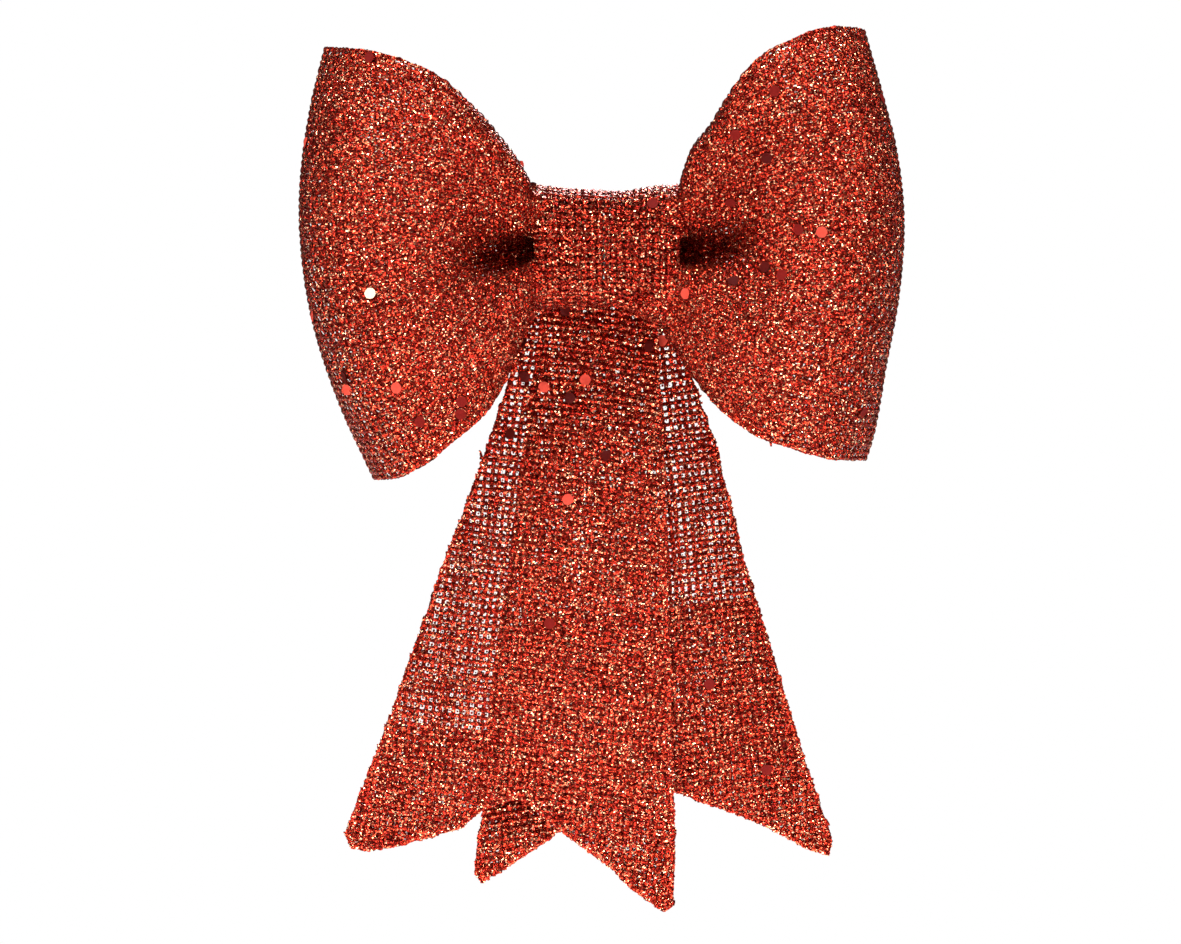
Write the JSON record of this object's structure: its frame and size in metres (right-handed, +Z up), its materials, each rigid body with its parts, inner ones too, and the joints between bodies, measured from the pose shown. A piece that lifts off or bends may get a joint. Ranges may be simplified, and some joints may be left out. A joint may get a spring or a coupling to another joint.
{
  "type": "pre-made gift bow",
  "caption": "Gift bow of red glitter net ribbon with puffed loops, a wrapped knot band, V-cut tails hanging behind it and a twist tie at the back.",
  "frame": {"origin": "centre of the flat back face of the glue rivet, level with the middle of the knot", "axes": "+Z up along the hanging tails, +X to the right as the bow is looked at, +Y out of the back; the front faces -Y"},
  "size_m": [0.1604, 0.1069, 0.2357],
  "materials": {
    "glitter_net": "open-weave net coated all over with fine red glitter",
    "hot_melt": "translucent cream hot-melt glue",
    "steel_wire": "soft annealed wire",
    "tie_strip": "thin plastic strip over a wire"
  },
  "bodies": {
    "bow": {"loop_ribbon": "glitter_net", "knot_band": "glitter_net", "band_glue": "hot_melt", "waist_wire": "steel_wire", "tail_glue_rivet": "hot_melt", "tie_saddle": "tie_strip", "tie_saddle_wire": "steel_wire"},
    "left_tail": {"left_tail": "glitter_net", "left_tail_backing": "glitter_net"},
    "right_tail": {"right_tail": "glitter_net", "right_tail_backing": "glitter_net"},
    "left_tie_leg": {"left_tie_leg": "tie_strip", "left_tie_leg_wire": "steel_wire"},
    "right_tie_leg": {"right_tie_leg": "tie_strip", "right_tie_leg_wire": "steel_wire"}
  },
  "joints": [
    {"name": "left_tail_swing", "type": "hinge", "parent": "bow", "child": "left_tail", "pos_m": [0, -0.008, 0], "axis": [0, 1, 0], "range_deg": [-8, 8], "stiffness_Nm_per_rad": 0.05},
    {"name": "right_tail_swing", "type": "hinge", "parent": "bow", "child": "right_tail", "pos_m": [0, -0.0034, 0], "axis": [0, -1, 0], "range_deg": [-8, 8], "stiffness_Nm_per_rad": 0.05},
    {"name": "left_tie_bend", "type": "hinge", "parent": "bow", "child": "left_tie_leg", "pos_m": [-0.0205, 0.0017, 0.004], "axis": [0, 0, 1], "range_deg": [-20, 85]},
    {"name": "right_tie_bend", "type": "hinge", "parent": "bow", "child": "right_tie_leg", "pos_m": [0.0205, 0.0017, 0.004], "axis": [0, 0, -1], "range_deg": [-20, 85]}
  ]
}
